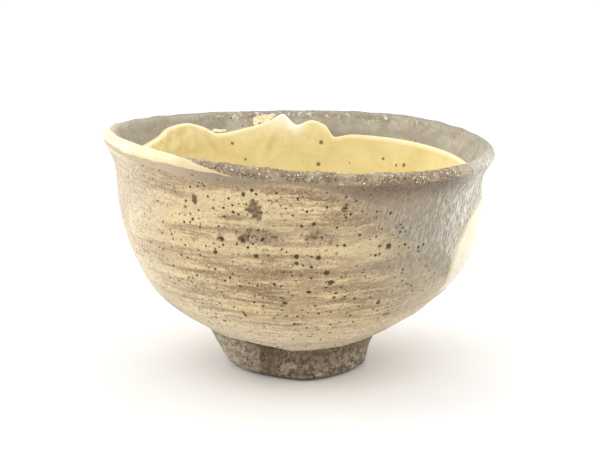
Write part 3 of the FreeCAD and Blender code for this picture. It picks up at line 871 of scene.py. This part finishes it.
def make_smears():
    """The two thin smears of slip above the inside slip's edge, as one piece."""
    across = np.linspace(-1.0, 1.0, SMEAR_COLUMNS)[None, :]
    up = np.linspace(-1.0, 1.0, SMEAR_ROWS)[:, None]
    width = np.sqrt(np.clip(1.0 - across ** 2, 0.02, 1.0))
    rise = np.sqrt((1.0 - across ** 2) * (1.0 - up ** 2))
    parts = []
    for middle, down, half_width, half_height, slant in SMEARS:
        angle = middle + half_width * across + 0.0 * up
        line, _ = wall.at(angle, down + 6.0 * up)
        torn = 1.0 + 0.8 * width * noise(line, (2.4, 2.4, 9.0), 82)
        depth = down + half_height * up * width * torn + slant * half_width * across
        face, normals = on_wall(angle, depth, -0.25 + 0.42 * rise)
        face = lifted(face, normals, 0.14 * noise(face, 1.8, 81) * rise)
        root, _ = on_wall(angle, depth, ROOT)
        parts.append(patch_piece("smear", face, root, {"edge": 1.0 - rise}))
    bpy.ops.object.select_all(action="DESELECT")
    for part in parts:
        part.select_set(True)
    bpy.context.view_layer.objects.active = parts[0]
    bpy.ops.object.join()
    piece = parts[0]
    piece.name = "inside_smears"
    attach(piece, "root")
    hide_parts("inside_slip_smears")
    return piece


# ---------------------------------------------------------------- shader nodes in short

def rgb(red, green, blue):
    """A display colour, from 0 to 255, as the linear colour that a shader takes."""
    channels = [c / 255.0 for c in (red, green, blue)]
    return tuple(c / 12.92 if c <= 0.04045 else ((c + 0.055) / 1.055) ** 2.4 for c in channels) + (1.0,)


class Shader:
    """One node material. Its methods add a node or more and return the last one's output."""

    def __init__(self, name):
        self.material = bpy.data.materials.new(name)
        self.material.use_nodes = True
        self.tree = self.material.node_tree
        self.surface = self.tree.nodes["Principled BSDF"]
        texture = self.add("TexCoord")
        self.place = self.vector("MULTIPLY", texture.outputs["Object"], (1.0 / MM, 1.0 / MM, 1.0 / MM))

    def plug(self, socket, value):
        """Links an output to a socket, or sets the socket to a plain value."""
        if isinstance(value, bpy.types.NodeSocket):
            self.tree.links.new(value, socket)
        else:
            socket.default_value = value

    def add(self, kind, *entries, **settings):
        """A new node with its settings, and with the entries in its first sockets."""
        node = self.tree.nodes.new("ShaderNode" + kind)
        for name, value in settings.items():
            setattr(node, name, value)
        for socket, entry in zip(node.inputs, entries):
            self.plug(socket, entry)
        return node

    def vector(self, operation, first, second):
        node = self.add("VectorMath", first, second, operation=operation)
        return node.outputs["Value" if operation == "DISTANCE" else "Vector"]

    def math(self, operation, *values):
        return self.add("Math", *values, operation=operation).outputs[0]

    def times(self, first, second):
        return self.math("MULTIPLY", first, second)

    def broken(self, value, grain, amount):
        """A value made uneven by a grain that goes from 0 to 1."""
        return self.math("MULTIPLY_ADD", self.math("SUBTRACT", grain, 0.5), amount, value)

    def step(self, value, low, high, start=0.0, end=1.0):
        """A smooth step of value from low to high, from start to end."""
        entries = (value, low, high, start, end)
        return self.add("MapRange", *entries, interpolation_type="SMOOTHSTEP").outputs[0]

    def attribute(self, name):
        return self.add("Attribute", attribute_name=name).outputs["Fac"]

    def join(self, x, y, z):
        return self.add("CombineXYZ", x, y, z).outputs[0]

    def split(self, vector):
        return self.add("SeparateXYZ", vector).outputs

    def stretched(self, x, y, z, place=None):
        """The place with each axis scaled."""
        return self.vector("MULTIPLY", place or self.place, (x, y, z))

    def swept(self):
        """The place sheared, so that upright streaks lean up to the right."""
        x, y, z = self.split(self.place)
        return self.join(self.math("MULTIPLY_ADD", z, -0.35, x), y, z)

    def noise(self, size, detail=3.0, roughness=0.55, place=None):
        """Noise from 0 to 1, with lumps of a size in millimetres."""
        node = self.add("TexNoise", place or self.place)
        for name, value in (("Scale", 1.0 / size), ("Detail", detail), ("Roughness", roughness)):
            node.inputs[name].default_value = value
        return node.outputs["Fac"]

    def specks(self, spacing, radius, share, strength):
        """Round specks up to a radius, in millimetres, at a share of the random points."""
        ragged = self.noise(0.7, 2.0)
        node = self.add("TexVoronoi", self.vector("ADD", self.place, self.join(ragged, ragged, ragged)))
        node.inputs["Scale"].default_value = 1.0 / spacing
        chance = self.split(node.outputs["Color"])
        chosen = self.step(chance[0], 1.0 - share, 1.0 - 0.6 * share)
        size = self.times(self.math("MULTIPLY_ADD", chance[1], 0.7, 0.3), radius / spacing)
        near = self.math("DIVIDE", node.outputs["Distance"], size)
        return self.times(self.step(near, 0.6, 1.1, strength, 0.0), chosen)

    def spots(self, places):
        """Ragged spots at exact places: 1 inside each (place, radius), in millimetres."""
        ragged = self.math("MULTIPLY_ADD", self.noise(0.9, 2.0), 1.1, -0.55)
        total = 0.0
        for place, radius in places:
            away = self.math("DIVIDE", self.vector("DISTANCE", self.place, tuple(place)), radius)
            spot = self.step(self.math("ADD", away, ragged), 0.6, 1.15, 1.0, 0.0)
            total = self.math("MAXIMUM", total, spot)
        return total

    def mix(self, share, first, second):
        """A mix of two colours: the first where the share is 0, the second where it is 1."""
        node = self.add("Mix", share, data_type="RGBA")
        self.plug(node.inputs[6], first)
        self.plug(node.inputs[7], second)
        return node.outputs[2]

    def layers(self, colour, *coats):
        """A colour with coats laid over it one by one, each a (share, colour)."""
        for share, coat in coats:
            colour = self.mix(share, colour, coat)
        return colour

    def bump(self, height, distance, strength, under=None):
        """Bump from a height from 0 to 1, which stands for a distance in millimetres."""
        node = self.add("Bump")
        entries = {"Strength": strength, "Distance": distance * MM, "Height": height}
        if under is not None:
            entries["Normal"] = under
        for name, entry in entries.items():
            self.plug(node.inputs[name], entry)
        return node.outputs[0]

    def finish(self, colour, roughness, normal, **settings):
        """Plugs the surface in. A setting's name is its socket's name with underscores."""
        self.plug(self.surface.inputs["Base Color"], colour)
        self.plug(self.surface.inputs["Roughness"], roughness)
        self.plug(self.surface.inputs["Normal"], normal)
        for name, value in settings.items():
            self.surface.inputs[name.replace("_", " ")].default_value = value
        return self.material


IRON = rgb(60, 38, 16)
OUTSIDE = -1.0
INSIDE = 1.0


def spots_on_wall(spots, side, proud):
    """The places of (angle, depth, radius) spots on one side of the wall."""
    return [(on_wall(angle, side * depth, proud)[0], radius) for angle, depth, radius in spots]


# ---------------------------------------------------------------- materials

def raw_clay(s, grain):
    """The bare grey clay outside, with the brush's fine marks leaning up to the right."""
    marks = s.noise(0.7, 4.0, 0.7, place=s.stretched(1.0, 1.0, 0.24, place=s.swept()))
    colour = s.mix(s.step(marks, 0.36, 0.66), rgb(126, 115, 98), rgb(170, 162, 146))
    return marks, s.mix(s.step(grain, 0.5, 0.7, 0.0, 0.5), colour, rgb(124, 111, 92))


def clay_material():
    """Grey speckled stoneware: smooth grey inside the lip, brushed grey outside, burnt at the lip with
    painted glints, and painted shade under the lip.
    """
    s = Shader("speckled_clay")
    front = s.attribute("front")
    grain = s.noise(0.9, 3.0, 0.65)
    mottle = s.noise(0.6, 3.0, 0.75)
    wiped = s.noise(2.6, 3.0, 0.6, place=s.stretched(0.3, 0.3, 1.0))
    haze = s.times(s.attribute("haze"), s.step(s.noise(1.5, 4.0, 0.7), 0.50, 0.66))
    rust = s.spots(spots_on_wall(RUST_SPOTS, INSIDE, 0.0))
    inside = s.layers(
        s.mix(s.step(s.noise(9.0), 0.35, 0.65), rgb(148, 139, 121), rgb(172, 165, 148)),
        (s.step(wiped, 0.42, 0.66, 0.0, 0.4), rgb(140, 128, 106)),
        (s.step(grain, 0.52, 0.72, 0.0, 0.4), rgb(130, 118, 95)),
        (haze, rgb(222, 217, 204)),
        (s.times(s.attribute("shade"), 0.5), rgb(112, 100, 78)),
        (s.times(rust, 0.75), rgb(186, 122, 70)))
    marks, raw = raw_clay(s, grain)
    slip = s.step(s.broken(s.attribute("slip"), grain, 0.9), 0.25, 0.85)
    outside = s.layers(
        raw,
        (s.times(front, 0.65), rgb(152, 130, 100)),
        # Paler clay at the far left, partly painted light on the bright left side.
        (s.attribute("left"), rgb(202, 183, 154)),
        (s.times(s.attribute("pale"), s.step(marks, 0.40, 0.62)), rgb(214, 209, 196)),
        (slip, s.mix(front, rgb(216, 202, 174), rgb(184, 160, 122))))
    # The burnt crust's own colours, with painted glints laid over them.
    burnt = s.layers(
        s.mix(s.step(mottle, 0.42, 0.58), rgb(92, 71, 44), rgb(158, 138, 106)),
        # Painted glints: small near-white specks on the burnt crust.
        (s.step(s.noise(0.8, 2.0, 0.7), 0.60, 0.68), rgb(240, 234, 220)),
        (s.step(s.noise(7.0, 2.0), 0.46, 0.60, 0.0, 0.4), rgb(196, 180, 150)))
    patchy = s.step(s.noise(3.2, 2.0), 0.3, 0.55, 0.45, 1.0)
    colour = s.layers(
        s.mix(s.attribute("inner"), outside, inside),
        # Painted shade: grainy dark brown in a band under the lip.
        (s.times(s.attribute("under_lip_shade"), s.step(grain, 0.35, 0.6, 0.95, 0.45)), rgb(88, 68, 44)),
        (s.times(s.step(s.attribute("crust"), 0.15, 0.6), patchy), burnt),
        (s.specks(2.0, 0.5, 0.45, 0.75), IRON),
        (s.specks(1.2, 0.26, 0.5, 0.55), rgb(110, 88, 62)))
    normal = s.bump(mottle, 0.25, 0.5, under=s.bump(grain, 0.25, 0.7))
    return s.finish(colour, s.step(grain, 0.3, 0.7, 0.42, 0.66), normal)


def inside_material():
    """Thick cream slip with a soft gloss: warm yellow, with a painted highlight along its thick edge and
    painted shade in its creases, faintly wiped.
    """
    s = Shader("cream_slip")
    wiped = s.noise(4.5, 3.0, 0.6, place=s.stretched(0.4, 0.4, 1.0))
    shade = s.times(s.attribute("shade"), s.step(s.noise(5.0, 3.0, 0.6), 0.36, 0.6, 0.3, 0.75))
    pits = s.spots(spots_on_wall(INSIDE_PITS, INSIDE, 0.6))
    colour = s.layers(
        s.mix(s.step(s.noise(14.0), 0.35, 0.65), rgb(226, 210, 154), rgb(233, 219, 168)),
        (s.step(wiped, 0.45, 0.75, 0.0, 0.45), rgb(214, 196, 136)),
        (shade, rgb(184, 163, 106)),
        (s.step(s.noise(3.0, 4.0, 0.7), 0.50, 0.72, 0.0, 0.35), rgb(208, 188, 126)),
        # Painted highlight: a pale band along the thick edge.
        (s.step(s.attribute("edge"), 0.2, 1.0, 0.0, 0.75), rgb(240, 228, 190)),
        (s.attribute("peak"), rgb(250, 246, 230)),
        (s.specks(4.2, 0.34, 0.3, 0.75), rgb(140, 110, 66)),
        # Painted shade: darker slip in the creases.
        (s.times(s.attribute("crease"), 0.32), rgb(184, 162, 108)),
        (s.times(pits, 0.85), rgb(104, 86, 50)))
    normal = s.bump(pits, -0.3, 0.8, under=s.bump(s.noise(0.7, 2.0), 0.05, 0.5))
    return s.finish(colour, s.step(wiped, 0.3, 0.7, 0.48, 0.62), normal, Specular_IOR_Level=0.3)


def smear_material():
    """Slip wiped so thin that the clay shows through it in places."""
    s = Shader("smeared_slip")
    worn = s.broken(s.attribute("edge"), s.noise(1.6, 3.0, 0.6), 1.5)
    grain = s.noise(1.1)
    slip = s.mix(s.step(grain, 0.35, 0.65), rgb(226, 210, 162), rgb(246, 236, 202))
    clay = s.mix(s.step(grain, 0.4, 0.6), rgb(146, 134, 112), rgb(172, 164, 146))
    colour = s.mix(s.step(worn, 0.25, 0.85), slip, clay)
    return s.finish(colour, s.step(grain, 0.3, 0.7, 0.45, 0.65), s.bump(grain, 0.15, 0.6))


def brush_streaks(s, grain):
    """The streaks of the brush, from 0 where it ran dry to 1 where the slip lies thick.

    It also gives the finest streaks, and thin lines along the same strokes.
    """
    x, y, _ = s.split(s.place)
    stroke = s.attribute("stroke")
    along = s.join(s.times(x, 0.045), s.times(y, 0.045), stroke)
    fine = s.noise(0.8, 3.0, 0.6, place=s.join(s.times(x, 0.12), s.times(y, 0.12), stroke))
    streak = s.math("ADD", s.times(s.noise(3.4, place=along), 0.62), s.times(fine, 0.38))
    streak = s.math("MULTIPLY_ADD", s.attribute("dry"), -0.13, streak)
    streak = s.math("MULTIPLY_ADD", s.attribute("thick"), 0.12, streak)
    return s.broken(streak, grain, 0.22), fine, s.noise(1.1, 2.0, 0.5, place=along)


def brushed_material():
    """Slip brushed on: pale and tan streaks along the strokes, specks, and bare dark patches."""
    s = Shader("brushed_slip")
    bare = s.attribute("bare")
    grey = s.attribute("grey")
    front = s.attribute("front")
    # Paler slip, partly painted light at the far left and above the ledge.
    pale = s.attribute("pale")
    grain = s.noise(0.9, 3.0, 0.65)
    dabs = s.noise(1.5, 3.0, 0.7, place=s.stretched(1.0, 1.0, 1.5))
    pitted = s.noise(0.55, 3.0, 0.75)
    streak, fine, lines = brush_streaks(s, grain)
    thread = s.times(s.step(lines, 0.54, 0.66), s.step(streak, 0.42, 0.58, 0.75, 0.15))
    washed = s.mix(s.step(streak, 0.36, 0.56), rgb(206, 188, 160), rgb(240, 228, 202))
    mottled = s.mix(s.step(grain, 0.38, 0.62), rgb(150, 132, 108), rgb(204, 189, 162))
    away = s.times(s.math("SUBTRACT", 1.0, front), s.attribute("mottle"))
    _, raw = raw_clay(s, grain)
    brown = s.mix(s.step(grain, 0.4, 0.6), rgb(146, 124, 94), rgb(184, 162, 128))
    # The same paler mask, partly painted light, lightens the brown near the slip's edge.
    brown = s.mix(pale, brown, rgb(226, 211, 184))
    rim_tone = s.mix(s.times(grey, 1.4), brown, raw)
    thin = s.broken(s.attribute("thin"), grain, 1.0)
    dark = s.mix(s.step(s.noise(1.2, 2.0), 0.4, 0.62), rgb(84, 64, 38), rgb(136, 114, 82))
    crowd = s.step(s.math("MULTIPLY_ADD", front, 0.25, s.noise(10.0, 2.0)), 0.38, 0.68, 0.2, 1.0)
    iron = s.spots(spots_on_wall(IRON_SPOTS, OUTSIDE, 0.35))
    colour = s.layers(
        s.mix(s.step(streak, 0.38, 0.54), rgb(154, 129, 94), rgb(215, 193, 144)),
        (s.step(streak, 0.28, 0.44, 0.85, 0.0), rgb(124, 100, 67)),
        (thread, rgb(130, 105, 71)),
        # Paler slip, partly painted light at the far left and above the ledge.
        (pale, washed),
        (s.step(dabs, 0.36, 0.50, 0.42, 0.0), rgb(158, 136, 108)),
        (s.step(dabs, 0.52, 0.64, 0.0, 0.30), rgb(236, 220, 188)),
        (s.step(pitted, 0.34, 0.48, 0.35, 0.0), rgb(134, 110, 80)),
        (s.step(pitted, 0.54, 0.66, 0.0, 0.45), rgb(240, 224, 190)),
        (s.step(s.noise(16.0), 0.42, 0.62, 0.0, 0.35), rgb(200, 178, 142)),
        (s.times(away, 0.75), mottled),
        (s.times(grey, 0.75), raw),
        (s.step(thin, 0.3, 0.95, 0.0, 0.85), rim_tone),
        (s.step(bare, 0.05, 0.7, 0.0, 0.6), rgb(164, 144, 116)),
        (s.step(s.broken(bare, grain, 1.3), 0.50, 0.85, 0.0, 0.9), dark),
        (s.specks(1.0, 0.36, 0.55, 0.55), rgb(96, 74, 50)),
        (s.specks(1.5, 0.60, 0.72, crowd), IRON),
        (s.times(iron, 0.92), rgb(54, 32, 10)))
    normal = s.bump(grain, 0.14, 0.6, under=s.bump(fine, 0.16, 0.7))
    normal = s.bump(iron, -0.25, 0.8, under=normal)
    return s.finish(colour, s.step(grain, 0.3, 0.7, 0.40, 0.60), normal, Specular_IOR_Level=0.35)


def lip_material():
    """Thick ivory glaze, glossy and smooth, a little darker at its edges and its thin tail."""
    s = Shader("lip_glaze")
    soft = s.noise(8.0)
    dots = s.spots(spots_on_wall(ROLL_SPOTS, OUTSIDE, 0.5))
    colour = s.layers(
        s.mix(s.step(soft, 0.35, 0.65), rgb(226, 204, 152), rgb(236, 220, 178)),
        (s.step(s.attribute("edge"), 0.45, 1.0, 0.0, 0.7), rgb(206, 176, 130)),
        (s.attribute("tail"), rgb(196, 174, 130)),
        (s.specks(6.0, 0.4, 0.2, 0.7), rgb(120, 94, 60)),
        (s.times(dots, 0.85), IRON))
    gloss = {"Coat_Weight": 0.3, "Coat_Roughness": 0.12, "Specular_IOR_Level": 0.4}
    return s.finish(colour, s.step(soft, 0.3, 0.7, 0.16, 0.28), s.bump(s.noise(1.8, 2.0), 0.05, 0.5), **gloss)


def pour_material():
    """A milky pour: nearly white, thinning to a pinkish film over the clay near its foot."""
    s = Shader("pour_glaze")
    soft = s.noise(10.0)
    grain = s.noise(1.1, 3.0, 0.65)
    pink = s.mix(s.step(grain, 0.38, 0.64), rgb(186, 167, 140), rgb(216, 200, 176))
    worn = s.broken(s.attribute("fade"), grain, 0.6)
    colour = s.layers(
        s.mix(s.step(soft, 0.35, 0.65), rgb(212, 199, 164), rgb(222, 212, 184)),
        (s.step(worn, 0.2, 0.95, 0.0, 0.85), pink),
        (s.step(s.attribute("edge"), 0.5, 1.0, 0.0, 0.6), rgb(222, 204, 172)),
        (s.specks(4.5, 0.34, 0.25, 0.7), rgb(110, 86, 58)))
    gloss = {"Coat_Weight": 0.3, "Coat_Roughness": 0.15}
    return s.finish(colour, s.step(soft, 0.3, 0.7, 0.2, 0.34), s.bump(s.noise(2.2, 2.0), 0.06, 0.5), **gloss)


def foot_material():
    """Dark bare clay of the foot, mottled brown and grey, paler at its resting edge, and paler on the left,
    partly as painted light on its lit left side.
    """
    s = Shader("bare_foot_clay")
    right, _, height = s.split(s.place)
    mottle = s.noise(1.9, 4.0, 0.7)
    grain = s.noise(0.7, 3.0, 0.65)
    side = s.math("MULTIPLY_ADD", s.noise(5.0), 20.0, right)
    spotty = s.step(s.noise(1.3, 3.0, 0.7), 0.44, 0.60, 0.15, 0.85)
    colour = s.layers(
        s.mix(s.step(mottle, 0.42, 0.58), rgb(66, 47, 26), rgb(152, 136, 110)),
        (s.step(grain, 0.54, 0.64, 0.0, 0.7), rgb(200, 190, 168)),
        (s.step(s.noise(9.0, 2.0), 0.42, 0.62, 0.0, 0.4), rgb(100, 82, 58)),
        (s.step(height, 5.0, 9.0, 0.0, 0.5), rgb(84, 66, 44)),
        # Paler, speckled clay on the left: partly the clay's own flecks, partly painted light on the lit left
        # side.
        (s.times(s.step(side, -12.0, 0.0, 1.0, 0.0), spotty), rgb(188, 177, 156)),
        (s.step(s.math("ABSOLUTE", side), 1.0, 6.0, 0.55, 0.0), rgb(68, 50, 30)),
        (s.step(height, 0.1, 1.4, 0.6, 0.0), rgb(124, 96, 66)),
        (s.specks(1.8, 0.4, 0.4, 0.7), rgb(52, 38, 26)),
        (s.specks(1.5, 0.34, 0.4, 0.6), rgb(212, 202, 184)))
    normal = s.bump(grain, 0.2, 0.7, under=s.bump(mottle, 0.5, 0.7))
    return s.finish(colour, s.step(mottle, 0.3, 0.7, 0.4, 0.7), normal)


def floor_material():
    """Matt pale card."""
    s = Shader("studio_floor")
    colour = s.mix(s.step(s.noise(60.0, 2.0), 0.3, 0.7), (0.795, 0.79, 0.785, 1.0), (0.815, 0.81, 0.805, 1.0))
    return s.finish(colour, 0.7, s.bump(s.noise(2.0, 2.0), 0.02, 0.3))


# ---------------------------------------------------------------- the studio

FLOOR_REACH = 3.0
BOWL_CENTRE = (0.0, 0.0, 0.04)
WORLD_STRENGTH = 1.0
SIDE_WATTS = 3.6
FRONT_WATTS = 0.6
OVERHEAD_STRENGTH = 0.8
OVERHEAD_SPREAD = math.radians(100.0)
OVERHEAD_TURN = (math.radians(-8.0), math.radians(-14.0), 0.0)

CAMERA_TILT = math.radians(10.0)
CAMERA_DISTANCE = 0.600
CAMERA_AIM = (0.0, 0.0, 0.0462)
CAMERA_PIVOT_HEIGHT = 0.0772
CAMERA_LENS = 108.0
CAMERA_SENSOR = 36.0


def add_thing(name, data, place=(0.0, 0.0, 0.0)):
    """An object for a mesh, a lamp or a camera, at a place in metres."""
    thing = bpy.data.objects.new(name, data)
    thing.location = place
    bpy.context.collection.objects.link(thing)
    return thing


def make_floor():
    """The pale floor that the bowl stands on."""
    mesh = bpy.data.meshes.new("floor")
    corners = [(x * FLOOR_REACH, y * FLOOR_REACH, 0.0) for x, y in ((-1, -1), (1, -1), (1, 1), (-1, 1))]
    mesh.from_pydata(corners, [], [(0, 1, 2, 3)])
    mesh.materials.append(floor_material())
    floor = add_thing("floor", mesh)


def aim(thing, target):
    """Turns a lamp or a camera to face a place."""
    turn = (Vector(target) - thing.location).to_track_quat("-Z", "Y")
    thing.rotation_euler = turn.to_euler()


def add_soft_box(name, place, size, watts):
    """A square lamp that faces the bowl."""
    lamp = bpy.data.lights.new(name, "AREA")
    lamp.shape = "SQUARE"
    lamp.size = size
    lamp.energy = watts
    aim(add_thing(name, lamp, place), BOWL_CENTRE)


def make_studio():
    """White surroundings, a soft box behind each side, a faint one in front, and light from overhead."""
    world = bpy.data.worlds.new("studio")
    bpy.context.scene.world = world
    world.use_nodes = True
    background = world.node_tree.nodes["Background"]
    background.inputs["Color"].default_value = (1.0, 1.0, 1.0, 1.0)
    background.inputs["Strength"].default_value = WORLD_STRENGTH
    add_soft_box("left_box", (-0.75, 0.22, 0.35), 0.7, SIDE_WATTS)
    add_soft_box("right_box", (0.75, 0.22, 0.35), 0.7, SIDE_WATTS)
    add_soft_box("front_box", (0.0, -0.70, 0.80), 0.8, FRONT_WATTS)
    lamp = bpy.data.lights.new("overhead", "SUN")
    lamp.energy = OVERHEAD_STRENGTH
    lamp.angle = OVERHEAD_SPREAD
    add_thing("overhead", lamp).rotation_euler = OVERHEAD_TURN
    bpy.context.scene.view_settings.view_transform = "Standard"


def make_camera():
    """The camera, tilted down a little from in front, as in the photograph."""
    camera = bpy.data.cameras.new("camera")
    camera.lens = CAMERA_LENS
    camera.sensor_width = CAMERA_SENSOR
    back = CAMERA_DISTANCE * math.cos(CAMERA_TILT)
    up = CAMERA_PIVOT_HEIGHT + CAMERA_DISTANCE * math.sin(CAMERA_TILT)
    thing = add_thing("camera", camera, (0.0, -back, up))
    aim(thing, CAMERA_AIM)
    bpy.context.scene.camera = thing


def main():
    """Makes each piece with its material, then the floor, the lights and the camera."""
    for make_piece, material in (
            (make_clay, clay_material), (make_foot, foot_material), (make_inside_coat, inside_material),
            (make_smears, smear_material), (make_brushed_coat, brushed_material),
            (make_lip_roll, lip_material), (make_side_pour, pour_material)):
        make_piece().data.materials.append(material())
    make_floor()
    make_studio()
    make_camera()


main()
